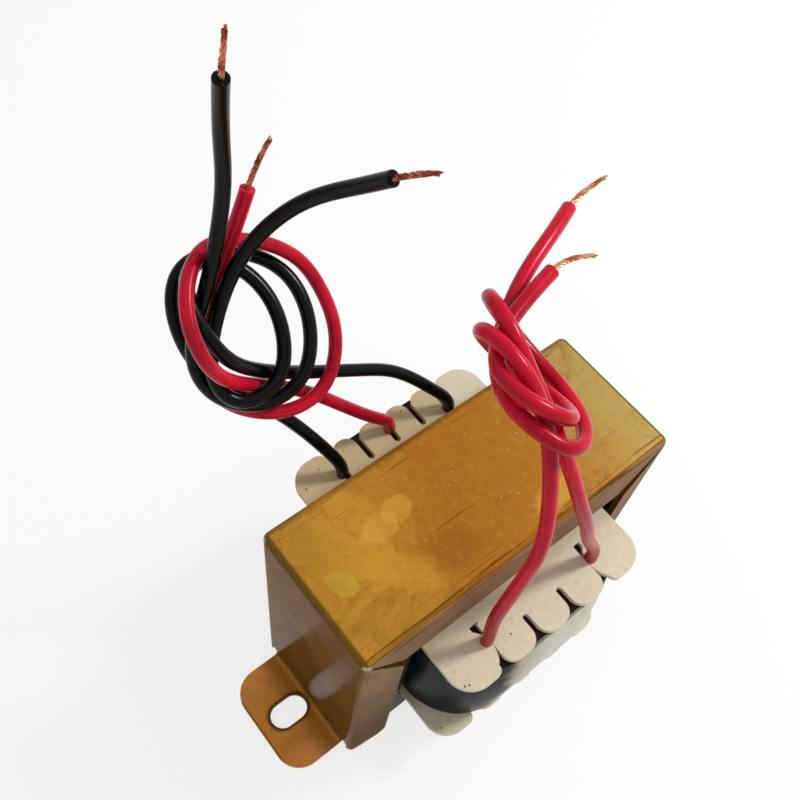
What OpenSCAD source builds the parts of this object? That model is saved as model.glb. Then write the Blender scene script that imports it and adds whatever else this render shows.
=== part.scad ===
// EI transformer in a folded mounting frame: a stack of E and I laminations, a slotted bobbin
// with two windings, and five insulated leads that leave the slots of the upper flange.
// X runs from foot to foot, Y through the stack and Z up. The feet stand on z = 0.

/* [Core] */
// Width of a lamination
core_w = 57; // [54:0.5:60]
// Width of the side legs and yokes
leg_w = 9.5; // [8.5:0.1:10]
// Width of the centre leg
centre_w = 19; // [18:0.1:20]
// Height of the winding window
window_h = 28.5; // [26:0.5:32]
// Thickness of the stack
stack_d = 22; // [18:0.5:26]
// Number of plates in the stack
plate_count = 11; // [9:2:15]
// Height of the core above the surface that the feet stand on
core_lift = 1; // [0.5:0.1:2]

/* [Mounting frame] */
// Thickness of the sheet
sheet_t = 1; // [0.8:0.1:1.2]
// Inner radius of the folded edges
fold_r = 0.2; // [0.1:0.05:0.3]
// Gap between the sheet and the core, which varnish fills
core_clear = 0.1; // [0.1:0.05:0.2]
// Inner radius of the bend above each foot
foot_bend_r = 0.8; // [0.6:0.1:1.4]
// Height of the top lips' lower edge above the winding window
top_lip_gap = 0.6; // [0.2:0.1:1.5]
// Width of the lips along the side panels
side_lip_w = 7.1; // [6:0.1:8]
// Angle by which the side lips stand open
lip_flare = 6; // [0:1:10]
// Width of the slanted slit between the top and side lips, along X
lip_slit = 0.5; // [0.3:0.1:1]
// Radius of the free lower corners of the side lips
lip_corner_r = 2.5; // [1:0.1:3.5]
// Width of the relief notches between the side lips and the feet
relief_w = 1.3; // [0.6:0.1:1.6]
// Height of the relief notches above the foot's bend
relief_h = 1; // [0.5:0.1:2]

/* [Feet] */
// Reach of each foot from its side panel
foot_l = 10; // [9:0.1:12]
// Radius of the feet's outer corners
foot_corner_r = 4.5; // [2:0.1:5]
// Distance between the centres of the mounting slots
slot_pitch = 67.6; // [67.6:0.1:69.6]
// Width of a mounting slot
slot_w = 4.5; // [3.6:0.1:5]
// Length of a mounting slot, end to end
slot_l = 6.8; // [5.5:0.1:6.8]

/* [Bobbin] */
// Wall of the bobbin's tube
tube_wall = 1; // [0.8:0.1:1.2]
// Gap between the tube and the centre leg
tube_clear = 0.2; // [0.1:0.05:0.4]
// Thickness of the flanges
flange_t = 1; // [0.8:0.1:1.4]
// Gap between the flanges and the yokes
flange_clear = 0.1; // [0.05:0.05:0.2]
// Gap between the flanges and the side legs
flange_side_clear = 0.5; // [0.2:0.1:0.8]
// Reach of the flanges beyond the stack
flange_reach = 11; // [10.8:0.1:12]
// Reach of the flanges' solid part beyond the stack, to the outer slots' ends
outer_slot_start = 3; // [2.5:0.1:4]
// Distance of the outer slots from the middle plane
outer_slot_x = 10.7; // [10.4:0.1:11]
// Width of the outer slots
outer_slot_w = 1.3; // [1.1:0.1:1.6]

/* [Bobbin front edge] */
// Distance of the two inner front slots from the middle plane
front_slot_x = 3.45; // [3:0.05:4]
// Width of the inner front slots
front_slot_w = 1.05; // [0.8:0.05:1.3]
// Reach of the front edge beyond the stack at the inner slots' ends
front_slot_start = 6.4; // [5.5:0.1:7]
// Corner radius of the front fingers
front_finger_r = 2.2; // [1:0.1:2.2]
// Outer corner radius of the front lobes
front_lobe_r = 4.2; // [3:0.1:4.8]
// Inner corner radius of the front lobes
front_lobe_inner_r = 1.2; // [0.8:0.1:2]

/* [Bobbin back edge] */
// Distance between the inner back slots
back_slot_step = 5.35; // [5.2:0.05:5.4]
// Width of the inner back slots
back_slot_w = 1.1; // [0.8:0.05:1.3]
// Reach of the back edge beyond the stack at the inner slots' ends
back_slot_start = 5.3; // [4.5:0.1:6]
// Corner radius of the back fingers
back_finger_r = 1.9; // [1:0.05:1.9]
// Outer corner radius of the back lobes
back_lobe_r = 4; // [3:0.1:4.8]
// Inner corner radius of the back lobes
back_lobe_inner_r = 1.8; // [0.8:0.1:2]

/* [Windings] */
// Outer corner radius of the tube
tube_corner_r = 0.8; // [0.4:0.1:0.8]
// Build of the primary beside the centre leg
primary_side = 3.3; // [3:0.1:3.5]
// Build of the primary in front of and behind the stack
primary_end = 4.6; // [4:0.1:4.8]
// Corner radius of the primary
primary_corner_r = 5; // [4:0.1:6]
// Thickness of the insulation between the windings
insulation_t = 0.3; // [0.2:0.05:0.4]
// Gap between the outer wrap and the side legs
winding_clear = 1.3; // [0.8:0.1:1.8]
// Distance from the flanges' front and back edges in to the outer wrap
wrap_inset = 0.1; // [0:0.1:0.8]
// Bulge of the secondary's front and back at half height
winding_bulge = 0.9; // [0:0.1:1.2]
// Corner radius of the secondary
secondary_corner_r = 10.6; // [9:0.1:11]
// Thickness of the outer wrap
wrap_t = 0.4; // [0.3:0.05:0.5]

/* [Leads] */
// Diameter of a lead over its insulation
lead_d = 2; // [1.6:0.1:2]
// Diameter of the stripped copper strands
copper_d = 0.7; // [0.5:0.05:1]
// Length over which a stripped end runs on straight
copper_straight = 2; // [1:0.5:3]

/* [Hidden] */
$fn = 64;
eps = 0.01;

// core
core_h = window_h + 2 * leg_w;
core_top = core_lift + core_h;
window_bottom = core_lift + leg_w;
window_top = window_bottom + window_h;
plate_t = stack_d / plate_count;

// frame
inner_x = core_w / 2 + core_clear;
inner_y = stack_d / 2 + core_clear;
inner_z = core_top + core_clear;
frame_w = 2 * (inner_x + sheet_t);
frame_d = 2 * (inner_y + sheet_t);
frame_h = inner_z + sheet_t;
fold_outer_r = fold_r + sheet_t;
foot_bend_outer_r = foot_bend_r + sheet_t;
// the flat of each panel ends where its folds begin
flat_x = frame_w / 2 - fold_outer_r;
flat_y = frame_d / 2 - fold_outer_r;
flat_z = frame_h - fold_outer_r;
foot_w = 2 * (flat_y - relief_w);
notch_top = foot_bend_outer_r + relief_h;
// upper and lower end of the middle line of the slit between the lips
slit_top = [flat_x, flat_z];
slit_foot = [frame_w / 2 - side_lip_w - lip_slit / 2, window_top + top_lip_gap];
slit_half = [lip_slit / 2, 0];

// bobbin
tube_x = centre_w / 2 + tube_clear + tube_wall;
tube_y = stack_d / 2 + tube_clear + tube_wall;
flange_x = core_w / 2 - leg_w - flange_side_clear;
flange_y = stack_d / 2 + flange_reach;
flange_top = window_top - flange_clear;
flange_bottom = window_bottom + flange_clear;
winding_bottom = flange_bottom + flange_t;
winding_h = flange_top - flange_t - winding_bottom;

// windings: half width, half depth and corner radius of each layer's outline
tube_outline = [tube_x, tube_y, tube_corner_r];
primary_outline = [tube_x + primary_side, tube_y + primary_end, primary_corner_r];
insulation_outline = grown(primary_outline, insulation_t);
wrap_outline = [core_w / 2 - leg_w - winding_clear, flange_y - wrap_inset,
    secondary_corner_r + wrap_t];
secondary_outline = grown(wrap_outline, -wrap_t);
bulge_slabs = 9;

// leads: routes from the flange to the cut ends, and the tips of the stripped copper
lead_sides = 8;
// front left lead, red
front_left_route = [
    [-10.5, -17, 38.9], [-10.5, -17, 41.5], [-10.5, -16.5, 45.5], [-10, -16.5, 50], [-9, -16.5, 54.5],
    [-8, -16.5, 59], [-7, -16.5, 64], [-6, -15.5, 69], [-5, -13.5, 74], [-4, -11, 79], [-3, -7.5, 83.5],
    [-3, -3, 87], [-3.5, 1.5, 88], [-3, 4.5, 86], [-1, 5.5, 82], [1, 4, 78.5], [2, -1, 77.5],
    [2, -6.5, 79], [0, -10, 82], [-3, -9.5, 85], [-5.5, -6, 86.5], [-5.5, -2, 86], [-3.5, 1.5, 85],
    [1.5, 4, 85.5], [9.5, 5.5, 86.5]];
// front right lead, red
front_right_route = [
    [11, -17, 38.9], [11, -17, 41.5], [9.5, -16.5, 45], [7.5, -16.5, 49], [5.5, -16.5, 53.5],
    [4, -16.5, 58], [2.5, -16, 62.5], [1, -15, 67], [0, -13.5, 71.5], [-1, -11, 76.5], [-1.5, -7, 81.5],
    [-1.5, -2, 85.5], [-1, 2, 88], [0, 6, 87.5], [2, 8.5, 84.5], [3.5, 7, 81], [4.5, 2.5, 78],
    [5, -3.5, 77], [3.5, -9, 78], [0, -12.5, 80], [-3.5, -12.5, 82], [-5.5, -9, 83.5], [-6, -4, 83.5],
    [-3.5, 0.5, 83], [0.5, 4, 83], [5.5, 7, 84.5], [10.5, 9, 85.5], [15, 10.5, 85.5], [19.5, 12.5, 85]];
// back left lead, black
back_left_route = [
    [-11, 17, 38.9], [-11, 17, 41.5], [-12.5, 18.5, 45], [-14.5, 21, 49], [-17, 24, 53],
    [-20, 27, 56.5], [-23.5, 30, 59.5], [-25.5, 33.5, 63], [-25.5, 37, 67], [-24, 40, 70.5],
    [-21, 41.5, 73], [-16.5, 40.5, 73.5], [-12, 38, 72.5], [-9, 34, 70.5], [-9, 29.5, 67.5],
    [-11, 25.5, 64.5], [-14.5, 22.5, 62.5], [-19.5, 22, 62], [-24, 23.5, 63], [-27, 26.5, 65],
    [-27.5, 29.5, 68.5], [-25.5, 31.5, 73], [-22.5, 32.5, 77.5], [-20, 33.5, 83], [-18, 34.5, 88],
    [-17, 35, 93], [-17, 35, 98], [-17, 34.5, 103], [-17.5, 33, 108]];
// back middle lead, red
back_middle_route = [
    [0, 19, 38.9], [0, 19, 41.5], [-2.5, 19.5, 44], [-5.5, 21, 47], [-8.5, 22.5, 50.5], [-11.5, 24, 54],
    [-15, 25, 57.5], [-18.5, 25, 61.5], [-22, 24.5, 65.5], [-25, 24, 69.5], [-27, 24, 73],
    [-28, 25.5, 76.5], [-27.5, 28.5, 79], [-25.5, 32, 80.5], [-22.5, 35, 81], [-19, 37, 80],
    [-14.5, 37.5, 77.5], [-10, 36.5, 74.5], [-6.5, 34.5, 71], [-5.5, 31.5, 67.5], [-5.5, 28, 64],
    [-7, 25, 61], [-10, 22.5, 58.5], [-14, 21.5, 57.5], [-18.5, 22, 58], [-22.5, 24, 59.5],
    [-25.5, 26.5, 62], [-26, 29, 65], [-25, 31, 68.5], [-23, 32.5, 72.5], [-20.5, 33.5, 76.5],
    [-18, 34.5, 80.5], [-15.5, 35, 84.5], [-14, 35, 88.5]];
// back right lead, black
back_right_route = [
    [10.5, 16.5, 38.9], [10.5, 16.5, 41.5], [8, 18, 44.5], [5, 20.5, 48], [1.5, 22.5, 51],
    [-3, 23.5, 53.5], [-7.5, 24.5, 56], [-12, 25, 59], [-16.5, 25, 63], [-20.5, 25, 67],
    [-24, 25.5, 71], [-25.5, 28, 75], [-25.5, 32, 78], [-23.5, 35.5, 79], [-20, 37, 78],
    [-16, 35.5, 75.5], [-14, 31, 72.5], [-15, 26, 69], [-18, 22.5, 66], [-22.5, 22, 65],
    [-26, 23.5, 66], [-26.5, 27, 69], [-24, 29.5, 73], [-20.5, 31.5, 77.5], [-17, 32, 82],
    [-13.5, 31, 86], [-10.5, 29, 89.5], [-8, 26, 92.5], [-6.5, 22.5, 95.5], [-5.5, 19, 99]];
front_left_tip = [15, 3.5, 87.5];
front_right_tip = [25, 12, 88];
back_left_tip = [-16.5, 33, 114];
back_middle_tip = [-10, 35.5, 94.5];
back_right_tip = [-2.5, 14.5, 102];

function grown(outline, t) = outline + [t, t, t];
function unit(v) = v / norm(v);
function last(list) = list[len(list) - 1];
function square_to(v, axis) = unit(v - axis * (v * axis));

// direction of the route at a point: along the bisector of the two runs that meet there
function route_dir(route, i) =
    unit((i > 0 ? unit(route[i] - route[i - 1]) : [0, 0, 0])
        + (i < len(route) - 1 ? unit(route[i + 1] - route[i]) : [0, 0, 0]));
// a vector square to the route at each point, carried along without twist
function route_sides(route) = let (n = len(route)) [
    for (i = 0, side = square_to([1, 0.1, 0.2], route_dir(route, 0)); i < n;
        i = i + 1, side = i < n ? square_to(side, route_dir(route, i)) : side) side];
function route_rings(route, d) = let (sides = route_sides(route)) [
    for (i = [0:len(route) - 1]) let (dir = route_dir(route, i), across = cross(dir, sides[i]))
        for (k = [0:lead_sides - 1]) let (a = 360 * k / lead_sides)
            route[i] + (cos(a) * sides[i] + sin(a) * across) * d / 2];
function ring_faces(i) = [for (k = [0:lead_sides - 1]) let (
        here = i * lead_sides, next = here + lead_sides, k2 = (k + 1) % lead_sides)
    each [[here + k, next + k, next + k2], [here + k, next + k2, here + k2]]];
function tube_faces(n) = concat(
    [for (i = [0:n - 2]) each ring_faces(i)],
    [[for (k = [0:lead_sides - 1]) k]],
    [[for (k = [lead_sides - 1:-1:0]) (n - 1) * lead_sides + k]]);
// stripped strands run straight on from the lead and then bend to their tip
function copper_route(route, tip) = let (
        end = last(route), dir = unit(end - route[len(route) - 2]))
    [end, end + dir * copper_straight, tip];

module tube_along(route, d) {
    polyhedron(points = route_rings(route, d), faces = tube_faces(len(route)), convexity = 10);
}

// rounded rectangle about the origin, from its half sizes and corner radius
module rounded(outline) {
    x = outline.x;
    y = outline.y;
    r = min(outline.z, x - eps, y - eps);
    square([2 * x, 2 * (y - r)], center = true);
    square([2 * (x - r), 2 * y], center = true);
    for (sx = [-1, 1], sy = [-1, 1]) translate([sx * (x - r), sy * (y - r)]) circle(r);
}

// straight strip from x0 to x1 that starts at y0 and ends at y1 with corner radii r0 and r1
module finger(x0, x1, y0, y1, r0, r1) {
    r_max = max(r0, r1);
    translate([x0, y0]) square([x1 - x0, y1 - y0 - r_max]);
    translate([x0 + r0, y0]) square([x1 - x0 - r0 - r1, y1 - y0]);
    translate([x0, y0]) square([r0 + eps, y1 - y0 - r0]);
    translate([x1 - r1 - eps, y0]) square([r1 + eps, y1 - y0 - r1]);
    translate([x0 + r0, y1 - r0]) circle(r0);
    translate([x1 - r1, y1 - r1]) circle(r1);
}

// section of a bend about the origin, turning by angle from the X direction
module bend(inner_r, outer_r, angle) {
    reach = 2 * outer_r;
    intersection() {
        difference() {
            circle(outer_r);
            circle(inner_r);
        }
        square(reach);
        rotate(angle) translate([0, -reach]) square(reach);
    }
}

// what is drawn in X and Z, made h thick about the middle plane y = 0
module along_y(h) {
    rotate([90, 0, 0]) linear_extrude(h, center = true) children();
}
// what is drawn in Y and Z, made h long about the middle plane x = 0
module along_x(h) {
    rotate([90, 0, 90]) linear_extrude(h, center = true) children();
}
module both_x() {
    children();
    mirror([1, 0, 0]) children();
}
module both_y() {
    children();
    mirror([0, 1, 0]) children();
}

// the two bends of a corner and of a foot, drawn in X and Z
module corner_bend() {
    translate([flat_x, flat_z]) bend(fold_r, fold_outer_r, 90);
}
module foot_bend() {
    translate([frame_w / 2 + foot_bend_r, foot_bend_outer_r]) rotate(180)
        bend(foot_bend_r, foot_bend_outer_r, 90);
}
// flat of a side panel from height z0 up to its corner bend, drawn in X and Z
module side_flat(z0) {
    translate([inner_x, z0]) square([sheet_t, flat_z - z0]);
}

// top panel and side panels between the folds of their lips
module channel() {
    along_y(2 * flat_y) {
        translate([-flat_x, inner_z]) square([2 * flat_x, sheet_t]);
        both_x() {
            corner_bend();
            side_flat(notch_top);
        }
    }
}

// lips of the top panel, whose ends slant along the slit
module top_lips() {
    intersection() {
        along_x(2 * flat_x) {
            translate([-flat_y, inner_z]) square([2 * flat_y, sheet_t]);
            both_x() {
                translate([flat_y, flat_z]) bend(fold_r, fold_outer_r, 90);
                translate([inner_y, slit_foot.y]) square([sheet_t, flat_z - slit_foot.y]);
            }
        }
        along_y(2 * frame_d) both_x() polygon([[-eps, slit_foot.y], slit_foot - slit_half,
            slit_top - slit_half, [frame_w, flat_z], [frame_w, frame_h + eps], [-eps, frame_h + eps]]);
    }
}

// rounded corner that closes the slit above, where three folds meet
module corner_cap() {
    translate([flat_x, flat_y, flat_z]) rotate_extrude(angle = 90) {
        bend(fold_r, fold_outer_r, 90);
        translate([fold_r, -eps]) square([sheet_t, 2 * eps]);
    }
}

// edge of a side panel with its fold and its lip, which stands open by the flare, in X and Y
module side_lip_section() {
    lip_l = (side_lip_w - fold_outer_r + fold_outer_r * sin(lip_flare)) / cos(lip_flare);
    translate([inner_x, foot_w / 2]) square([sheet_t, relief_w]);
    translate([flat_x, flat_y]) {
        bend(fold_r, fold_outer_r, 90 - lip_flare);
        rotate(90 - lip_flare) translate([fold_r, 0]) square([sheet_t, lip_l]);
    }
}

// outline of a side lip seen from the front, with its free lower corner rounded
module side_lip_outline() {
    free_x = frame_w / 2 - side_lip_w;
    difference() {
        polygon([[frame_w, core_lift], [free_x, core_lift], slit_foot + slit_half,
            slit_top + slit_half, [frame_w, flat_z]]);
        translate([free_x, core_lift]) difference() {
            translate([-eps, -eps]) square(lip_corner_r + eps);
            translate([lip_corner_r, lip_corner_r]) circle(lip_corner_r);
        }
    }
}

module side_lip() {
    intersection() {
        translate([0, 0, core_lift]) linear_extrude(flat_z - core_lift) side_lip_section();
        along_y(3 * frame_d) side_lip_outline();
    }
}

// one foot with the bend above it, the strip that ties it to its side panel, and its slot
module foot() {
    foot_x = frame_w / 2 + foot_l;
    corner_x = foot_x - foot_corner_r;
    bend_x = frame_w / 2 + foot_bend_r;
    difference() {
        union() {
            along_y(foot_w) {
                side_flat(foot_bend_outer_r);
                foot_bend();
                translate([bend_x, 0]) square([corner_x - bend_x, sheet_t]);
            }
            linear_extrude(sheet_t) {
                translate([bend_x, foot_corner_r - foot_w / 2])
                    square([foot_x - bend_x, foot_w - 2 * foot_corner_r]);
                both_y() translate([corner_x, foot_w / 2 - foot_corner_r]) circle(foot_corner_r);
            }
        }
        translate([slot_pitch / 2, 0, -eps]) linear_extrude(sheet_t + 2 * eps) slot();
    }
}

// notch between a side lip's fold and the foot
module relief_notch() {
    translate([inner_x - eps, foot_w / 2, 0]) cube([sheet_t + 2 * eps, relief_w, notch_top]);
}

module slot() {
    square([slot_l - slot_w, slot_w], center = true);
    both_x() translate([(slot_l - slot_w) / 2, 0]) circle(d = slot_w);
}

// folded from one sheet: top panel, side panels, lips and feet
module mounting_frame() {
    color("peru") {
        channel();
        top_lips();
        both_x() {
            foot();
            both_y() {
                corner_cap();
                difference() {
                    side_lip();
                    relief_notch();
                }
            }
        }
    }
}

// E with its yoke at the top, drawn in X and Z
module e_outline() {
    translate([-core_w / 2, window_top]) square([core_w, leg_w]);
    translate([-centre_w / 2, window_bottom]) square([centre_w, window_h + eps]);
    both_x() translate([core_w / 2 - leg_w, window_bottom]) square([leg_w, window_h + eps]);
}

// plates first, first + 2 and so on of the stack, from front to back
module plates(first) {
    for (i = [first:2:plate_count - 1]) translate([0, (i + 0.5) * plate_t - stack_d / 2, 0])
        along_y(plate_t) children();
}
// turned upside down within the core's height
module upturned() {
    translate([0, core_lift + core_top]) mirror([0, 1]) children();
}
module e_laminations_up() {
    color("dimgray") plates(0) e_outline();
}
module e_laminations_down() {
    color("gray") plates(1) upturned() e_outline();
}
module i_outline() {
    translate([-core_w / 2, core_lift]) square([core_w, leg_w]);
}
module i_laminations_bottom() {
    color("gray") plates(0) i_outline();
}
module i_laminations_top() {
    color("dimgray") plates(1) upturned() i_outline();
}

// fingers and slots of the flanges' front edge, drawn towards +Y
module front_edge() {
    block_x = outer_slot_x - outer_slot_w / 2;
    round_y = stack_d / 2 + front_slot_start + front_slot_w / 2;
    difference() {
        translate([-block_x, 0]) square([2 * block_x, round_y]);
        for (x = [-front_slot_x, front_slot_x]) translate([x, round_y]) circle(d = front_slot_w);
    }
    finger(front_slot_w / 2 - front_slot_x, front_slot_x - front_slot_w / 2, 0, flange_y,
        front_finger_r, front_finger_r);
    both_x() {
        finger(front_slot_x + front_slot_w / 2, block_x, 0, flange_y, front_finger_r, front_finger_r);
        finger(block_x + outer_slot_w, flange_x, 0, flange_y, front_lobe_inner_r, front_lobe_r);
    }
}

// fingers and slots of the flanges' back edge
module back_edge() {
    block_x = outer_slot_x - outer_slot_w / 2;
    round_y = stack_d / 2 + back_slot_start + back_slot_w / 2;
    difference() {
        translate([-block_x, 0]) square([2 * block_x, round_y]);
        for (i = [-1:1]) translate([i * back_slot_step, round_y]) circle(d = back_slot_w);
    }
    both_x() {
        finger(back_slot_w / 2, back_slot_step - back_slot_w / 2, 0, flange_y,
            back_finger_r, back_finger_r);
        finger(back_slot_step + back_slot_w / 2, block_x, 0, flange_y, back_finger_r, back_finger_r);
        finger(block_x + outer_slot_w, flange_x, 0, flange_y, back_lobe_inner_r, back_lobe_r);
    }
}

module flange() {
    linear_extrude(flange_t) difference() {
        union() {
            square([2 * flange_x, stack_d + 2 * outer_slot_start], center = true);
            mirror([0, 1]) front_edge();
            back_edge();
        }
        tube_opening();
    }
}

module tube_opening() {
    square([centre_w + 2 * tube_clear, stack_d + 2 * tube_clear], center = true);
}

module bobbin() {
    color("wheat") {
        translate([0, 0, flange_bottom]) flange();
        translate([0, 0, flange_top - flange_t]) flange();
        translate([0, 0, flange_bottom]) linear_extrude(flange_top - flange_bottom) difference() {
            rounded(tube_outline);
            tube_opening();
        }
    }
}

// body within an outline, as high as the space between the flanges and over more at both ends
module layer_body(outline, over = 0) {
    translate([0, 0, winding_bottom - over]) linear_extrude(winding_h + 2 * over) rounded(outline);
}
// body whose front and back bulge, as a full layer does: the hull of a stack of slabs
module bulged_body(outline) {
    slab_h = winding_h / bulge_slabs;
    hull() for (i = [0:bulge_slabs - 1]) translate([0, 0, winding_bottom + i * slab_h])
        linear_extrude(slab_h)
            rounded(outline + [0, winding_bulge * sin(180 * i / (bulge_slabs - 1)), 0], $fn = 32);
}

module primary_winding() {
    color("chocolate") difference() {
        layer_body(primary_outline);
        layer_body(tube_outline, eps);
    }
}
module interwinding_insulation() {
    color("gold") difference() {
        layer_body(insulation_outline);
        layer_body(primary_outline, eps);
    }
}
module secondary_winding() {
    color("sienna") difference() {
        bulged_body(secondary_outline);
        layer_body(insulation_outline, eps);
    }
}
module outer_wrap() {
    color("black") difference() {
        bulged_body(wrap_outline);
        bulged_body(secondary_outline);
        layer_body(secondary_outline, eps, $fn = 32);
    }
}

module lead_front_left_red() {
    color("crimson") tube_along(front_left_route, lead_d);
}
module lead_front_right_red() {
    color("crimson") tube_along(front_right_route, lead_d);
}
module lead_back_left_black() {
    color("black") tube_along(back_left_route, lead_d);
}
module lead_back_middle_red() {
    color("crimson") tube_along(back_middle_route, lead_d);
}
module lead_back_right_black() {
    color("black") tube_along(back_right_route, lead_d);
}
module copper_end(route, tip) {
    color("darksalmon") tube_along(copper_route(route, tip), copper_d);
}

mounting_frame();
e_laminations_up();
e_laminations_down();
i_laminations_top();
i_laminations_bottom();
bobbin();
primary_winding();
interwinding_insulation();
secondary_winding();
outer_wrap();
lead_front_left_red();
lead_front_right_red();
lead_back_left_black();
lead_back_middle_red();
lead_back_right_black();
copper_end(front_left_route, front_left_tip);  // copper_end_front_left
copper_end(front_right_route, front_right_tip);  // copper_end_front_right
copper_end(back_left_route, back_left_tip);  // copper_end_back_left
copper_end(back_middle_route, back_middle_tip);  // copper_end_back_middle
copper_end(back_right_route, back_right_tip);  // copper_end_back_right
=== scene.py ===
import math
import bmesh
import bpy
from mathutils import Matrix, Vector, noise


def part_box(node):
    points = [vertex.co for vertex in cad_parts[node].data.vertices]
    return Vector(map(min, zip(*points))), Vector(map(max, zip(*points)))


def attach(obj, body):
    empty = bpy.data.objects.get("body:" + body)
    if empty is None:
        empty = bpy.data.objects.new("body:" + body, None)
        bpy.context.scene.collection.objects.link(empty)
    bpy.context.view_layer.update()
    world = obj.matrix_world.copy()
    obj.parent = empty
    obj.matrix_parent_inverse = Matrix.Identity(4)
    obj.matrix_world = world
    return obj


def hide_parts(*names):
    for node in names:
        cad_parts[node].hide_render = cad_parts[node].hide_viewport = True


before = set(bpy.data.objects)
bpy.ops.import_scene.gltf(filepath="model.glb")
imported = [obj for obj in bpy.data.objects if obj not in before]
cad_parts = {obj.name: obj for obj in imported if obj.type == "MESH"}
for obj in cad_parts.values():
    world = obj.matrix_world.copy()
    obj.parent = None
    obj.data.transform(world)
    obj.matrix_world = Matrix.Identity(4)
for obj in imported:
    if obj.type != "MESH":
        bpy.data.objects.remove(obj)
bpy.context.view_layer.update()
scene = bpy.context.scene
MM = 0.001


# Camera: it looks down on the transformer from high on the left, close enough for a strong
# perspective, and is turned so that the panel runs from lower left to upper right.
camera_data = bpy.data.cameras.new("camera")
camera_data.sensor_width = 36
camera_data.lens = 43.74
camera_data.clip_start = 0.005
camera = bpy.data.objects.new("camera", camera_data)
camera.location = Vector((-57.28, -35.92, 175.59)) * MM
camera.rotation_euler = [math.radians(angle) for angle in (31.568, -5.037, -38.743)]
scene.collection.objects.link(camera)
scene.camera = camera


# Leads: stranded hook-up wire in extruded PVC, 2 mm over the insulation. Two red ones leave the
# front of the bobbin and two black ones and a red one leave the back, and each group is tied
# in a loose overhand knot. They are short and stiff enough to stand up by themselves.
LEAD_D = 2.0 * MM
FRONT_LEFT = [
    (-10.5, -17, 38.9), (-10.5, -17, 41.5), (-10.5, -16.5, 45.5), (-10, -16.5, 50),
    (-9, -16.5, 54.5), (-8, -16.5, 59), (-7, -16.5, 64), (-6, -15.5, 69), (-5, -13.5, 74),
    (-4, -11, 79), (-3, -7.5, 83.5), (-3, -3, 87), (-3.5, 1.5, 88), (-3, 4.5, 86), (-1, 5.5, 82),
    (1, 4, 78.5), (2, -1, 77.5), (2, -6.5, 79), (0, -10, 82), (-3, -9.5, 85), (-5.5, -6, 86.5),
    (-5.5, -2, 86), (-3.5, 1.5, 85), (1.5, 4, 85.5), (9.5, 5.5, 86.5)
]
FRONT_RIGHT = [
    (11, -17, 38.9), (11, -17, 41.5), (9.5, -16.5, 45), (7.5, -16.5, 49), (5.5, -16.5, 53.5),
    (4, -16.5, 58), (2.5, -16, 62.5), (1, -15, 67), (0, -13.5, 71.5), (-1, -11, 76.5),
    (-1.5, -7, 81.5), (-1.5, -2, 85.5), (-1, 2, 88), (0, 6, 87.5), (2, 8.5, 84.5), (3.5, 7, 81),
    (4.5, 2.5, 78), (5, -3.5, 77), (3.5, -9, 78), (0, -12.5, 80), (-3.5, -12.5, 82),
    (-5.5, -9, 83.5), (-6, -4, 83.5), (-3.5, 0.5, 83), (0.5, 4, 83), (5.5, 7, 84.5),
    (10.5, 9, 85.5), (15, 10.5, 85.5), (19.5, 12.5, 85)
]
BACK_LEFT = [
    (-11, 17, 38.9), (-11, 17, 41.5), (-12.5, 18.5, 45), (-14.5, 21, 49), (-17, 24, 53),
    (-20, 27, 56.5), (-23.5, 30, 59.5), (-25.5, 33.5, 63), (-25.5, 37, 67), (-24, 40, 70.5),
    (-21, 41.5, 73), (-16.5, 40.5, 73.5), (-12, 38, 72.5), (-9, 34, 70.5), (-9, 29.5, 67.5),
    (-11, 25.5, 64.5), (-14.5, 22.5, 62.5), (-19.5, 22, 62), (-24, 23.5, 63), (-27, 26.5, 65),
    (-27.5, 29.5, 68.5), (-25.5, 31.5, 73), (-22.5, 32.5, 77.5), (-20, 33.5, 83), (-18, 34.5, 88),
    (-17, 35, 93), (-17, 35, 98), (-17, 34.5, 103), (-17.5, 33, 108)
]
BACK_MIDDLE = [
    (0, 19, 38.9), (0, 19, 41.5), (-2.5, 19.5, 44), (-5.5, 21, 47), (-8.5, 22.5, 50.5),
    (-11.5, 24, 54), (-15, 25, 57.5), (-18.5, 25, 61.5), (-22, 24.5, 65.5), (-25, 24, 69.5),
    (-27, 24, 73), (-28, 25.5, 76.5), (-27.5, 28.5, 79), (-25.5, 32, 80.5), (-22.5, 35, 81),
    (-19, 37, 80), (-14.5, 37.5, 77.5), (-10, 36.5, 74.5), (-6.5, 34.5, 71), (-5.5, 31.5, 67.5),
    (-5.5, 28, 64), (-7, 25, 61), (-10, 22.5, 58.5), (-14, 21.5, 57.5), (-18.5, 22, 58),
    (-22.5, 24, 59.5), (-25.5, 26.5, 62), (-26, 29, 65), (-25, 31, 68.5), (-23, 32.5, 72.5),
    (-20.5, 33.5, 76.5), (-18, 34.5, 80.5), (-15.5, 35, 84.5), (-14, 35, 88.5)
]
BACK_RIGHT = [
    (10.5, 16.5, 38.9), (10.5, 16.5, 41.5), (8, 18, 44.5), (5, 20.5, 48), (1.5, 22.5, 51),
    (-3, 23.5, 53.5), (-7.5, 24.5, 56), (-12, 25, 59), (-16.5, 25, 63), (-20.5, 25, 67),
    (-24, 25.5, 71), (-25.5, 28, 75), (-25.5, 32, 78), (-23.5, 35.5, 79), (-20, 37, 78),
    (-16, 35.5, 75.5), (-14, 31, 72.5), (-15, 26, 69), (-18, 22.5, 66), (-22.5, 22, 65),
    (-26, 23.5, 66), (-26.5, 27, 69), (-24, 29.5, 73), (-20.5, 31.5, 77.5), (-17, 32, 82),
    (-13.5, 31, 86), (-10.5, 29, 89.5), (-8, 26, 92.5), (-6.5, 22.5, 95.5), (-5.5, 19, 99)
]


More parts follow.
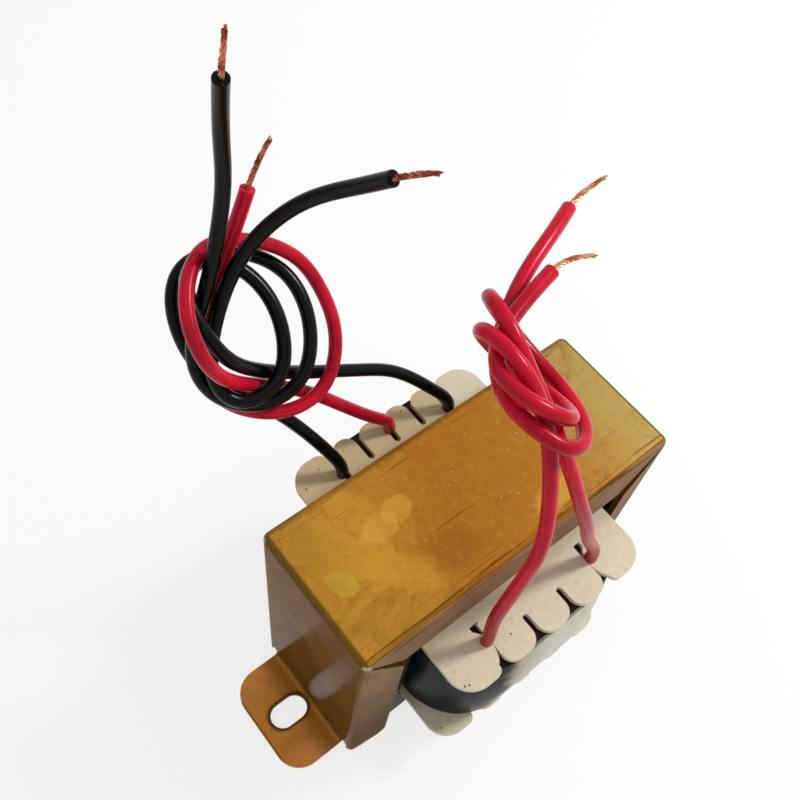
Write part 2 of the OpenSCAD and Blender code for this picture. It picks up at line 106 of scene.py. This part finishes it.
def colour(hex_code):
    """Linear RGBA of an sRGB hex colour."""
    channels = [int(hex_code[i:i + 2], 16) / 255 for i in (1, 3, 5)]
    return [c / 12.92 if c <= 0.04045 else ((c + 0.055) / 1.055) ** 2.4 for c in channels] + [1]


def new_material(name, sockets):
    """A material whose Principled shader has these sockets set. Returns it with its node tree,
    its shader and its Object coordinates."""
    material = bpy.data.materials.new(name)
    material.use_nodes = True
    tree = material.node_tree
    shader = tree.nodes["Principled BSDF"]
    for socket, value in sockets.items():
        shader.inputs[socket].default_value = value
    where = tree.nodes.new("ShaderNodeTexCoord").outputs["Object"]
    return material, tree, shader, where


def add_node(tree, kind, inputs=None, **settings):
    """Adds a node, sets its properties and sets or links its inputs by name or number."""
    made = tree.nodes.new("ShaderNode" + kind)
    for name, value in settings.items():
        setattr(made, name, value)
    for key, value in (inputs or {}).items():
        if isinstance(value, bpy.types.NodeSocket):
            tree.links.new(value, made.inputs[key])
        else:
            made.inputs[key].default_value = value
    return made


def per_mm(size_mm):
    """Texture scale whose features are about size_mm across."""
    return 1 / (size_mm * MM)


def finish_layers(tree, ground, layers):
    """Colour of a finish: a ground, which is a hex colour or a colour socket, and over it one
    layer after another. Each layer is (value, start, end, most, hex colour): it begins to show
    where the value passes start, and covers the share most of what is under it from end on."""
    tone = colour(ground) if isinstance(ground, str) else ground
    for value, start, end, most, shade in layers:
        mask = add_node(tree, "MapRange", {0: value, 1: start, 2: end, 4: most},
                        interpolation_type="SMOOTHSTEP")
        tone = add_node(tree, "Mix", {0: mask.outputs[0], 6: tone, 7: colour(shade)},
                        data_type="RGBA").outputs[2]
    return tone


def extruded_pvc(name, body, deep, chalk, painted_root_shade):
    """Soft PVC drawn over the strands. Its satin skin carries faint dust and handling marks, and
    painted shade darkens it down at its root. Its highlights are narrow and weak."""
    material, tree, shader, where = new_material(name, {
        "Roughness": 0.24, "IOR": 1.5, "Specular IOR Level": 0.16})
    height = add_node(tree, "SeparateXYZ", {0: where}).outputs[2]
    cloud = add_node(tree, "TexNoise", {"Vector": where, "Scale": per_mm(9),
                                        "Detail": 3}).outputs["Fac"]
    dust = add_node(tree, "TexNoise", {"Vector": where, "Scale": per_mm(0.7),
                                       "Detail": 4}).outputs["Fac"]
    tone = finish_layers(tree, body, [
        (cloud, 0.38, 0.66, 1, deep),
        (dust, 0.64, 0.8, 0.4, chalk),
        # Painted shade: the lead darkens from 58 mm down to 42 mm, towards its root.
        (height, 58 * MM, 42 * MM, 0.55, painted_root_shade),
    ])
    tree.links.new(tone, shader.inputs["Base Color"])
    skin = add_node(tree, "Bump", {"Height": dust, "Strength": 0.2, "Distance": 0.04 * MM})
    tree.links.new(skin.outputs["Normal"], shader.inputs["Normal"])
    return material


RED_PVC = extruded_pvc("red_pvc_extruded", "#CC1230", "#AC0D25", "#D8405A", "#860A18")
BLACK_PVC = extruded_pvc("black_pvc_extruded", "#08090D", "#050609", "#161A20", "#060A09")


def link_piece(name, data):
    """Puts a curve or mesh into the scene as a piece that rides on the transformer."""
    piece = bpy.data.objects.new(name, data)
    scene.collection.objects.link(piece)
    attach(piece, "root")
    return piece


def insulated_lead(name, route, material):
    """A round lead along one smooth open spline that its route, given in millimetres, steers."""
    data = bpy.data.curves.new(name, "CURVE")
    data.dimensions = "3D"
    data.resolution_u = 10
    data.bevel_depth = LEAD_D / 2
    data.bevel_resolution = 6
    data.use_fill_caps = True
    spline = data.splines.new("NURBS")
    spline.points.add(len(route) - 1)
    spline.order_u = 4
    spline.use_endpoint_u = True
    for point, place in zip(spline.points, route):
        point.co = (*Vector(place) * MM, 1)
    data.materials.append(material)
    return link_piece(name, data)


# Stripped ends: about 6 mm of bare copper strands, twisted by hand to a loose point. Bare drawn
# copper is bright orange where it was just cut and dull red-brown where it has tarnished.
STRAND_D = 0.2 * MM
STRAND_RINGS = [0.0] + [0.16 * MM] * 4 + [0.3 * MM] * 7  # each strand's distance from the middle
STRAND_TURN = math.tau * 0.381966  # golden angle, so that the strands spread evenly
STRAND_STEPS = 14
SHORTEST = 0.75  # the shortest strand's length, as a share of the longest
TWIST_PITCH = 4.5 * MM
POINT_FROM, POINT_NARROWING = 0.6, 0.45  # the twist closes up over its last part
STRAY = 0.3 * MM
noise.seed_set(1)  # the strands stray the same way on every run


def drawn_copper(name, bright, dull):
    """Bare copper strands with patches of tarnish."""
    material, tree, shader, where = new_material(name, {"Metallic": 1, "Roughness": 0.25})
    patch = add_node(tree, "TexNoise", {"Vector": where, "Scale": per_mm(1.2),
                                        "Detail": 3}).outputs["Fac"]
    tone = finish_layers(tree, bright, [(patch, 0.4, 0.62, 1, dull)])
    tree.links.new(tone, shader.inputs["Base Color"])
    return material


BRIGHT_COPPER = drawn_copper("bright_copper_drawn", "#FFCBA0", "#E07840")
DULL_COPPER = drawn_copper("dull_copper_drawn", "#DE8A68", "#A04E38")


def stripped_end(name, route, tip, material):
    """Twisted strands that run on from the lead's cut end and bend to their tip."""
    start, tip = Vector(route[-1]) * MM, Vector(tip) * MM
    away = (start - Vector(route[-2]) * MM).normalized()
    reach = (tip - start).length
    side = away.orthogonal().normalized()
    across = away.cross(side)
    data = bpy.data.curves.new(name, "CURVE")
    data.dimensions = "3D"
    data.bevel_depth = STRAND_D / 2
    data.bevel_resolution = 1
    data.use_fill_caps = True
    for i, ring in enumerate(STRAND_RINGS):
        length = 1 - (1 - SHORTEST) * abs(noise.noise(Vector((i * 3.7, 0.5, 0))))
        spline = data.splines.new("POLY")
        spline.points.add(STRAND_STEPS)
        for k, point in enumerate(spline.points):
            along = length * k / STRAND_STEPS
            centre = start.lerp(start + away * reach, along).lerp(start.lerp(tip, along), along)
            stray = noise.noise_vector(centre / (2.5 * MM) + Vector((i * 7.3, 0, 0)))
            closing = POINT_NARROWING * max(0.0, along - POINT_FROM) / (1 - POINT_FROM)
            angle = STRAND_TURN * i + math.tau * along * reach / TWIST_PITCH
            offset = (side * math.cos(angle) + across * math.sin(angle)) * ring * (1 - closing)
            point.co = (*centre + offset + stray * STRAY * along ** 3, 1)
    data.materials.append(material)
    return link_piece(name, data)


for name, route, tip, length, shade, insulation, copper in (
    ("front_left", FRONT_LEFT, (15, 3.5, 87.5), 0.114, "red", RED_PVC, BRIGHT_COPPER),
    ("front_right", FRONT_RIGHT, (25, 12, 88), 0.135, "red", RED_PVC, BRIGHT_COPPER),
    ("back_left", BACK_LEFT, (-16.5, 33, 114), 0.138, "black", BLACK_PVC, DULL_COPPER),
    ("back_middle", BACK_MIDDLE, (-10, 35.5, 94.5), 0.148, "red", RED_PVC, DULL_COPPER),
    ("back_right", BACK_RIGHT, (-2.5, 14.5, 102), 0.142, "black", BLACK_PVC, DULL_COPPER),
):
    strands = stripped_end("strands_" + name, route, tip, copper)
    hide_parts("copper_end_" + name)
    lead = insulated_lead("insulation_" + name, route, insulation)
    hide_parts(f"lead_{name}_{shade}")


# Bobbin: moulded in natural nylon, waxy, and lit through at its thin edges. It carries painted
# shade beside the core and along the back, and the varnish has left dark specks where it dried.
def cover(material, *nodes):
    """Gives CAD nodes their finish."""
    for node in nodes:
        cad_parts[node].data.materials.clear()
        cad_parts[node].data.materials.append(material)


material, tree, shader, where = new_material("nylon_moulded_natural", {
    "Roughness": 0.42, "IOR": 1.5, "Specular IOR Level": 0.3, "Subsurface Weight": 0.25,
    "Subsurface Radius": (1.0 * MM, 0.7 * MM, 0.4 * MM)})
x, y = add_node(tree, "SeparateXYZ", {0: where}).outputs[:2]
from_middle = add_node(tree, "Math", {0: y}, operation="ABSOLUTE").outputs[0]
haze = add_node(tree, "TexNoise", {"Vector": where, "Scale": per_mm(5),
                                   "Detail": 4}).outputs["Fac"]
bloom = add_node(tree, "TexNoise", {"Vector": where, "Scale": per_mm(0.9), "Detail": 6,
                                    "Roughness": 0.7}).outputs["Fac"]
# Painted shade beside the core, where the flange runs under the frame; the haze frays its edge.
painted_shade_reach = add_node(tree, "Math", {0: haze, 1: 3 * MM, 2: from_middle},
                operation="MULTIPLY_ADD").outputs[0]
# Painted shade over the back of the bobbin, left of the slot near x = 11 mm.
back = add_node(tree, "MapRange", {0: y, 1: 2 * MM, 2: 4 * MM}).outputs[0]
left = add_node(tree, "MapRange", {0: x, 1: 11 * MM, 2: 10.4 * MM}).outputs[0]
painted_back_shade = add_node(tree, "Math", {0: back, 1: left}, operation="MULTIPLY").outputs[0]
specks = add_node(tree, "TexVoronoi", {"Vector": where, "Scale": per_mm(3.4)}).outputs["Distance"]
grit = add_node(tree, "TexVoronoi", {"Vector": where, "Scale": per_mm(1.3)}).outputs["Distance"]
tone = finish_layers(tree, "#DCD1B6", [
    (haze, 0.4, 0.7, 0.5, "#D2C5A8"),
    (bloom, 0.5, 0.72, 0.45, "#BFB08E"),
    (bloom, 0.46, 0.3, 0.4, "#EAE2CE"),
    (painted_back_shade, 0, 1, 1, "#CBB58C"),
    (painted_shade_reach, 16.6 * MM, 14.2 * MM, 0.75, "#BEB196"),
    (grit, 0.09, 0.05, 0.35, "#9A8A68"),
    (specks, 0.062, 0.045, 0.85, "#3A3226"),
])
tree.links.new(tone, shader.inputs["Base Color"])
satin = add_node(tree, "Bump", {"Height": bloom, "Strength": 0.25, "Distance": 0.06 * MM})
tree.links.new(satin.outputs["Normal"], shader.inputs["Normal"])
cover(material, "bobbin")


# Windings: enamelled copper wire, whose near-black red-brown is painted shade, as it lies deep in
# the slots of the flange, with amber polyester tape between the two. The wrap hides all but their
# ends.
def bands_per_mm(spacing_mm):
    """Wave texture scale whose bands lie spacing_mm apart."""
    return math.tau / 20 * per_mm(spacing_mm)


material, tree, shader, where = new_material("copper_wire_enamelled", {
    "Metallic": 0.6, "Roughness": 0.3})
turns = add_node(tree, "TexWave", {"Vector": where, "Scale": bands_per_mm(0.3)},
                 bands_direction="Z").outputs["Fac"]
# The dark ground is painted shade of the deep slots; the darker bands lie between the turns.
tone = finish_layers(tree, "#1A0807", [(turns, 0.5, 0.1, 1, "#080405")])
tree.links.new(tone, shader.inputs["Base Color"])
wires = add_node(tree, "Bump", {"Height": turns, "Strength": 0.6, "Distance": 0.1 * MM})
tree.links.new(wires.outputs["Normal"], shader.inputs["Normal"])
cover(material, "primary_winding", "secondary_winding")

material, tree, shader, where = new_material("polyester_tape_amber", {"Roughness": 0.2})
creases = add_node(tree, "TexNoise", {"Vector": where, "Scale": per_mm(2),
                                      "Detail": 3}).outputs["Fac"]
tone = finish_layers(tree, "#B98A2B", [(creases, 0.4, 0.7, 1, "#8E661C")])
tree.links.new(tone, shader.inputs["Base Color"])
cover(material, "interwinding_insulation")


# Outer wrap: black polyester tape wound round the coil under tension, so that it bulges between
# the flanges. A clear film lies over its front, dulled by varnish, and its pale colour, lighter to
# the right, is a painted reflection of the light.
wrap_low, wrap_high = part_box("outer_wrap")
WRAP_BOTTOM, WRAP_TOP = wrap_low.z, wrap_high.z
WRAP_BULGE = 0.9 * MM
WRAP_X, WRAP_Y = wrap_high.x, wrap_high.y - WRAP_BULGE
WRAP_CORNER = 11.0 * MM
TAPE_THICK = 0.4 * MM
RIPPLE = 0.12 * MM


def round_the_coil(share, swell):
    """Place and outward direction on the coil's rounded outline, for a share of the way round
    it from 0 up to 1. The outline swells along Y."""
    straight_x, straight_y = WRAP_X - WRAP_CORNER, WRAP_Y - WRAP_CORNER
    arc = WRAP_CORNER * math.pi / 2
    gone = share * (4 * (straight_x + straight_y) + 4 * arc)
    turn = 0
    for centre, run in (((1, 1), 2 * straight_y), ((-1, 1), 2 * straight_x),
                        ((-1, -1), 2 * straight_y), ((1, -1), 2 * straight_x)):
        facing = Vector((math.cos(turn), math.sin(turn)))
        ahead = Vector((-facing.y, facing.x))
        middle = Vector((centre[0] * straight_x, centre[1] * straight_y))
        if gone <= run:
            out = facing
            place = middle - ahead * (run - gone) + out * WRAP_CORNER
            break
        gone -= run
        if gone <= arc:
            lean = gone / WRAP_CORNER
            out = facing * math.cos(lean) + ahead * math.sin(lean)
            place = middle + out * WRAP_CORNER
            break
        gone -= arc
        turn += math.pi / 2
    return place + Vector((0, swell * out.y)), out


tape_form = bmesh.new()
bmesh.ops.create_grid(tape_form, x_segments=140, y_segments=18, size=0.5)
for vert in tape_form.verts:
    around, high = vert.co.x + 0.5, vert.co.y + 0.5
    place, out = round_the_coil(min(around, 0.999999), WRAP_BULGE * math.sin(math.pi * high))
    lap = math.tau * around
    ripple = noise.noise(Vector((5 * math.cos(lap), 5 * math.sin(lap), 2.5 * high)))
    place = place - out * RIPPLE * (1 + ripple)
    vert.co = (place.x, place.y, WRAP_BOTTOM + (WRAP_TOP - WRAP_BOTTOM) * high)
bmesh.ops.remove_doubles(tape_form, verts=tape_form.verts, dist=0.02 * MM)
bmesh.ops.recalc_face_normals(tape_form, faces=tape_form.faces)
for face in tape_form.faces:
    face.smooth = True
tape_mesh = bpy.data.meshes.new("tape_wrap")
tape_form.to_mesh(tape_mesh)
tape_form.free()
tape = link_piece("tape_wrap", tape_mesh)
wall = tape.modifiers.new("wall", "SOLIDIFY")
wall.thickness = TAPE_THICK
wall.offset = -1
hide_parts("outer_wrap")

material, tree, shader, where = new_material("polyester_tape_black_film_painted_reflection", {
    "Roughness": 0.25, "IOR": 1.5, "Specular IOR Level": 0.012})
x, y, z = add_node(tree, "SeparateXYZ", {0: where}).outputs
upright = add_node(tree, "Mapping", {0: where, "Scale": (per_mm(0.9), per_mm(0.9), per_mm(9))})
streaks = add_node(tree, "TexNoise", {"Vector": upright.outputs[0], "Scale": 1, "Detail": 5,
                                      "Roughness": 0.65}).outputs["Fac"]
sheen = add_node(tree, "TexNoise", {"Vector": where, "Scale": per_mm(6),
                                    "Detail": 4}).outputs["Fac"]
black = finish_layers(tree, "#1A2121", [
    (streaks, 0.5, 0.72, 0.7, "#363F3E"),
    (sheen, 0.55, 0.35, 0.6, "#131817"),
])
# Painted reflection: the film is pale, lighter towards the lamp on the right, streaked, and darker
# along its top edge.
film_painted_reflection = finish_layers(tree, "#A09278", [
    (x, -10 * MM, 1 * MM, 1, "#CAC4B4"),
    (streaks, 0.52, 0.7, 0.6, "#D6D2C6"),
    (streaks, 0.44, 0.3, 0.6, "#7E786A"),
    (z, WRAP_TOP - 1.1 * MM, WRAP_TOP - 0.2 * MM, 0.7, "#4A4A46"),
])
ragged_x = add_node(tree, "Math", {0: sheen, 1: 6 * MM, 2: x},
                    operation="MULTIPLY_ADD").outputs[0]
to_right = add_node(tree, "MapRange", {0: ragged_x, 1: -6.5 * MM, 2: -4 * MM},
                    interpolation_type="SMOOTHSTEP").outputs[0]
in_front = add_node(tree, "MapRange", {0: y, 1: -17 * MM, 2: -19.5 * MM},
                    interpolation_type="SMOOTHSTEP").outputs[0]
film_reflection_share = add_node(tree, "Math", {0: to_right, 1: in_front}, operation="MULTIPLY").outputs[0]
skin = add_node(tree, "Mix", {0: film_reflection_share, 6: black, 7: film_painted_reflection}, data_type="RGBA").outputs[2]
tree.links.new(skin, shader.inputs["Base Color"])
wrinkles = add_node(tree, "Bump", {"Height": streaks, "Strength": 0.3, "Distance": 0.15 * MM})
tree.links.new(wrinkles.outputs["Normal"], shader.inputs["Normal"])
tape_mesh.materials.append(material)


# Core: 0.5 mm sheets of silicon steel, rolled, annealed to a blue-grey oxide, stacked in turn and
# varnished. The sheets' edges show as fine lines, and patches here and there are rubbed silver.
material, tree, shader, where = new_material("silicon_steel_rolled_oxidised", {
    "Metallic": 0.3, "Roughness": 0.45, "Specular IOR Level": 0.1,
    "Specular Tint": colour("#BCBCBC")})
sheets = add_node(tree, "TexWave", {"Vector": where, "Scale": bands_per_mm(0.5),
                                    "Distortion": 0.4}, bands_direction="Y").outputs["Fac"]
oxide = add_node(tree, "TexNoise", {"Vector": where, "Scale": per_mm(3),
                                    "Detail": 5}).outputs["Fac"]
tone = finish_layers(tree, "#1C1E21", [
    (oxide, 0.4, 0.7, 1, "#2C2E31"),
    (sheets, 0.35, 0.05, 0.6, "#0C0D0F"),
    (oxide, 0.64, 0.78, 0.4, "#77797A"),
])
tree.links.new(tone, shader.inputs["Base Color"])
edges = add_node(tree, "Bump", {"Height": sheets, "Strength": 0.5, "Distance": 0.08 * MM})
tree.links.new(edges.outputs["Normal"], shader.inputs["Normal"])
cover(material, "e_laminations_up", "e_laminations_down", "i_laminations_top",
      "i_laminations_bottom")


# Mounting frame: one folded sheet of zinc-plated steel, dipped in amber varnish with the whole
# transformer. The varnish is matt and blotchy on the top panel, dark and glossy on the sides,
# and is worn through to pale zinc at the panel's corners.
FOOT_END_X, _, PANEL_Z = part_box("mounting_frame")[1]
SLOT_X = 33.8 * MM  # the middle of each foot's slot
RIM_HALF_RUN, RIM_RADIUS = 1.35 * MM, 2.05 * MM  # round the slot, at its ends and inside its sides
# The varnish reflects little at a shallow angle, or the pale room would wash out its amber.
material, tree, shader, where = new_material("steel_zinc_plated_varnished", {
    "Specular IOR Level": 0.01, "Specular Tint": colour("#9E9586")})
x, y, z = add_node(tree, "SeparateXYZ", {0: where}).outputs
size_x = add_node(tree, "Math", {0: x}, operation="ABSOLUTE").outputs[0]
size_y = add_node(tree, "Math", {0: y}, operation="ABSOLUTE").outputs[0]
normal = add_node(tree, "VectorMath", {0: add_node(tree, "NewGeometry").outputs["Normal"]},
                  operation="ABSOLUTE").outputs[0]
faces_x, faces_y, faces_z = add_node(tree, "SeparateXYZ", {0: normal}).outputs
pools = add_node(tree, "TexNoise", {"Vector": where, "Scale": per_mm(8), "Detail": 5,
                                    "Roughness": 0.6, "Distortion": 0.8}).outputs["Fac"]
mottle = add_node(tree, "TexNoise", {"Vector": where, "Scale": per_mm(1.2), "Detail": 8,
                                     "Roughness": 0.7}).outputs["Fac"]


def oval_patch(centre_x, centre_y, half_x, half_y, turn):
    """Distance from the middle of an oval on the panel, in millimetres and degrees. It is 1 on
    the oval's edge, and the mottle makes it ragged."""
    oval = add_node(tree, "Mapping", {0: where, "Location": (centre_x * MM, centre_y * MM, 0),
                                      "Rotation": (0, 0, math.radians(turn)),
                                      "Scale": (half_x * MM, half_y * MM, 1)},
                    vector_type="TEXTURE").outputs[0]
    reach = add_node(tree, "VectorMath", {0: oval}, operation="LENGTH").outputs["Value"]
    return add_node(tree, "Math", {0: mottle, 1: 0.7, 2: reach},
                    operation="MULTIPLY_ADD").outputs[0]


def scuffed(turn, spacing_mm):
    """Long fine scratches that run at an angle, in degrees, across the panel."""
    drawn = add_node(tree, "Mapping", {0: where, "Rotation": (0, 0, math.radians(turn)),
                                       "Scale": (per_mm(7), per_mm(spacing_mm), per_mm(5))})
    return add_node(tree, "TexNoise", {"Vector": drawn.outputs[0], "Scale": 1,
                                       "Detail": 2}).outputs["Fac"]


# Top panel: amber at the left and browner in the middle; its lighter, greenish right end is a
# painted reflection. It has dried drops, scratches, pits and dust in the varnish, and is darker
# along both folds.
drift = add_node(tree, "Math", {0: pools, 1: 18 * MM, 2: x},
                 operation="MULTIPLY_ADD").outputs[0]
by_edge = add_node(tree, "Math", {0: mottle, 1: 1.2 * MM, 2: size_y},
                   operation="MULTIPLY_ADD").outputs[0]
scratches = scuffed(38, 0.16)
pits = add_node(tree, "TexVoronoi", {"Vector": where, "Scale": per_mm(1.1)}).outputs["Distance"]
dust = add_node(tree, "TexVoronoi", {"Vector": where, "Scale": per_mm(1.9)}).outputs["Distance"]
panel = finish_layers(tree, "#B07228", [
    (drift, 4 * MM, -12 * MM, 1, "#CC9638"),
    # Painted reflection: the right end turns lighter and greenish.
    (drift, 18 * MM, 36 * MM, 1, "#B69A55"),
    (pools, 0.5, 0.7, 0.55, "#9C641F"),
    (oval_patch(-9, -6, 5, 4, 30), 1.5, 0.8, 0.7, "#9A601D"),
    (mottle, 0.48, 0.8, 0.5, "#8C5A22"),
    (mottle, 0.46, 0.26, 0.4, "#D2A048"),
    (oval_patch(-24.8, -0.6, 1.6, 2.3, 20), 1.5, 1.25, 0.55, "#CDB040"),
    (oval_patch(-15.4, 3.0, 2.8, 2.1, 0), 1.5, 1.3, 0.5, "#D9A444"),
    (oval_patch(-12.0, 3.8, 2.4, 1.9, 10), 1.5, 1.3, 0.5, "#D9A444"),
    (oval_patch(9, -8, 5, 2.2, 10), 1.6, 0.9, 0.55, "#DCAA4C"),
    (scratches, 0.7, 0.78, 0.3, "#DDBB6C"),
    (scuffed(-52, 0.2), 0.69, 0.76, 0.3, "#D8B060"),
    (scuffed(12, 0.25), 0.69, 0.76, 0.3, "#7E5220"),
    (pits, 0.11, 0.05, 0.3, "#7A4A18"),
    (dust, 0.07, 0.04, 0.6, "#E8D6A0"),
    (by_edge, 11.2 * MM, 11.9 * MM, 0.5, "#7E5218"),
])

# Side panels and lips, both darker towards the feet with painted shade, the shaded table that they
# reflect; the lips also have the grain that folding left.
along_fold = add_node(tree, "Mapping", {0: where, "Scale": (per_mm(14), per_mm(0.4), per_mm(0.4))})
fold_grain = add_node(tree, "TexNoise", {"Vector": along_fold.outputs[0], "Scale": 1,
                                         "Detail": 3}).outputs["Fac"]
side = finish_layers(tree, "#845C2E", [
    (pools, 0.42, 0.65, 0.6, "#664320"),
    # Painted shade towards the feet.
    (z, 30 * MM, 8 * MM, 0.5, "#64401C"),
    (scratches, 0.64, 0.74, 0.25, "#A88A62"),
])
lip = finish_layers(tree, "#65492C", [
    # Painted shade: dark at the feet, lighter towards the top.
    (z, 6 * MM, 44 * MM, 1, "#9C7A5C"),
    (pools, 0.45, 0.7, 0.4, "#6B4F3A"),
    (fold_grain, 0.5, 0.7, 0.3, "#4A3320"),
])

# Feet: bright as painted light, brightest at their corners, and dark with painted shade by the
# fold and in a rim round the slot, where its wall lies in shade. They are also dark along the end.
# The rim is measured from a straight run with round ends.
beyond = add_node(tree, "Math", {0: size_x, 1: SLOT_X}, operation="SUBTRACT").outputs[0]
beyond = add_node(tree, "Math", {0: beyond}, operation="ABSOLUTE").outputs[0]
beyond = add_node(tree, "Math", {0: beyond, 1: RIM_HALF_RUN}, operation="SUBTRACT").outputs[0]
beyond = add_node(tree, "Math", {0: beyond, 1: 0.0}, operation="MAXIMUM").outputs[0]
from_slot = add_node(tree, "CombineXYZ", {0: beyond, 1: y}).outputs[0]
from_slot = add_node(tree, "VectorMath", {0: from_slot}, operation="LENGTH").outputs["Value"]
slot_shade_rim = add_node(tree, "Math", {0: from_slot, 1: RIM_RADIUS},
                    operation="SUBTRACT").outputs[0]
# The bright ground, the bright corners, the dark fold and the dark slot rim are painted light and
# shade.
foot = finish_layers(tree, "#DC9244", [
    (size_y, 3 * MM, 9 * MM, 0.6, "#F2A45C"),
    (size_x, 35 * MM, 31 * MM, 0.85, "#98682A"),
    (pools, 0.45, 0.7, 0.4, "#B07030"),
    (slot_shade_rim, 1 * MM, 0.3 * MM, 0.85, "#4A3418"),
    (size_x, FOOT_END_X - 0.5 * MM, FOOT_END_X - 0.1 * MM, 0.7, "#6A4020"),
])

# Each face takes its finish by the way it faces. The sheet's folds are darker lines, and the
# mottle frays the bare zinc at the panel's corners.
skin = side
for mask, start, end, finish in ((faces_y, 0.4, 0.8, lip), (faces_z, 0.35, 0.9, panel)):
    share = add_node(tree, "MapRange", {0: mask, 1: start, 2: end},
                     interpolation_type="SMOOTHSTEP").outputs[0]
    skin = add_node(tree, "Mix", {0: share, 6: skin, 7: finish}, data_type="RGBA").outputs[2]
lip_fold = add_node(tree, "Math", {0: size_y, 1: z}, operation="ADD").outputs[0]
lip_fold = add_node(tree, "MapRange", {0: lip_fold, 1: 58 * MM, 2: 62 * MM, 4: 0.22}).outputs[0]
lip_fold = add_node(tree, "Math", {0: lip_fold, 1: fold_grain}, operation="ADD").outputs[0]
end_fold = add_node(tree, "Math", {0: faces_x, 1: faces_z}, operation="MULTIPLY").outputs[0]
skin = finish_layers(tree, skin, [(lip_fold, 0.66, 0.78, 0.75, "#5E3214"),
                                  (end_fold, 0.1, 0.4, 0.8, "#624A20")])
on_foot = add_node(tree, "MapRange", {0: z, 1: 3.5 * MM, 2: 1.2 * MM},
                   interpolation_type="SMOOTHSTEP").outputs[0]
skin = add_node(tree, "Mix", {0: on_foot, 6: skin, 7: foot}, data_type="RGBA").outputs[2]
corner = add_node(tree, "Math", {0: size_x, 1: size_y}, operation="ADD").outputs[0]
worn = add_node(tree, "Math", {0: mottle, 1: 3 * MM, 2: corner},
                operation="MULTIPLY_ADD").outputs[0]
worn = add_node(tree, "MapRange", {0: worn, 1: 41.9 * MM, 2: 42.5 * MM, 4: 0.8},
                interpolation_type="SMOOTHSTEP").outputs[0]
at_top = add_node(tree, "MapRange", {0: z, 1: PANEL_Z - 1.6 * MM, 2: PANEL_Z - 0.8 * MM})
worn = add_node(tree, "Math", {0: worn, 1: at_top.outputs[0]}, operation="MULTIPLY").outputs[0]
skin = add_node(tree, "Mix", {0: worn, 6: skin, 7: colour("#E0D2A8")}, data_type="RGBA").outputs[2]
tree.links.new(skin, shader.inputs["Base Color"])
roughness = add_node(tree, "MapRange", {0: faces_x, 1: 0.5, 2: 0.95, 3: 0.42, 4: 0.14})
tree.links.new(roughness.outputs[0], shader.inputs["Roughness"])
metallic = add_node(tree, "MapRange", {0: faces_x, 1: 0.5, 2: 0.95, 3: 0.22, 4: 0.35})
tree.links.new(metallic.outputs[0], shader.inputs["Metallic"])
orange_peel = add_node(tree, "Bump", {"Height": mottle, "Strength": 0.3, "Distance": 0.08 * MM})
tree.links.new(orange_peel.outputs["Normal"], shader.inputs["Normal"])
cover(material, "mounting_frame")


# Table: a white top that keeps a soft shadow. Seen directly, in a gloss or through something
# clear, it is mostly plain white, and for all else it is lit as it lies.
TABLE_HALF = 3.0  # metres
TABLE_WHITENESS = 0.75
table_form = bmesh.new()
bmesh.ops.create_grid(table_form, x_segments=1, y_segments=1, size=TABLE_HALF)
table_mesh = bpy.data.meshes.new("floor")
table_form.to_mesh(table_mesh)
table_form.free()
table = bpy.data.objects.new("floor", table_mesh)
scene.collection.objects.link(table)
material, tree, shader, _ = new_material("table_top_white", {
    "Base Color": colour("#F4F4F4"), "Roughness": 0.8})
rays = add_node(tree, "LightPath").outputs
seen = rays["Is Camera Ray"]
for kind in ("Is Glossy Ray", "Is Transmission Ray"):
    seen = add_node(tree, "Math", {0: seen, 1: rays[kind]}, operation="MAXIMUM").outputs[0]
share = add_node(tree, "Math", {0: seen, 1: TABLE_WHITENESS}, operation="MULTIPLY").outputs[0]
bright = add_node(tree, "Emission", {"Color": colour("#FFFFFF"), "Strength": 1.0}).outputs[0]
white = add_node(tree, "MixShader", {"Fac": share, 1: shader.outputs[0], 2: bright}).outputs[0]
tree.links.new(white, tree.nodes["Material Output"].inputs["Surface"])
table_mesh.materials.append(material)


# Lights: an evenly bright room, and one small lamp on the right that gives the varnish and the
# leads their highlights.
LAMP_PLACE = Vector((310, -100, 360)) * MM
LAMP_TARGET = Vector((0, 0, 30)) * MM
LAMP_WIDTH = 90 * MM
world = bpy.data.worlds.new("bright_room")
world.use_nodes = True
scene.world = world
background = world.node_tree.nodes["Background"]
background.inputs["Color"].default_value = colour("#FFFFFF")
background.inputs["Strength"].default_value = 0.6
lamp_data = bpy.data.lights.new("lamp", "AREA")
lamp_data.shape = "DISK"
lamp_data.size = LAMP_WIDTH
lamp_data.energy = 1.3
lamp = bpy.data.objects.new("lamp", lamp_data)
lamp.location = LAMP_PLACE
lamp.rotation_euler = (LAMP_TARGET - LAMP_PLACE).to_track_quat("-Z", "Y").to_euler()
scene.collection.objects.link(lamp)
scene.view_settings.view_transform = "Standard"
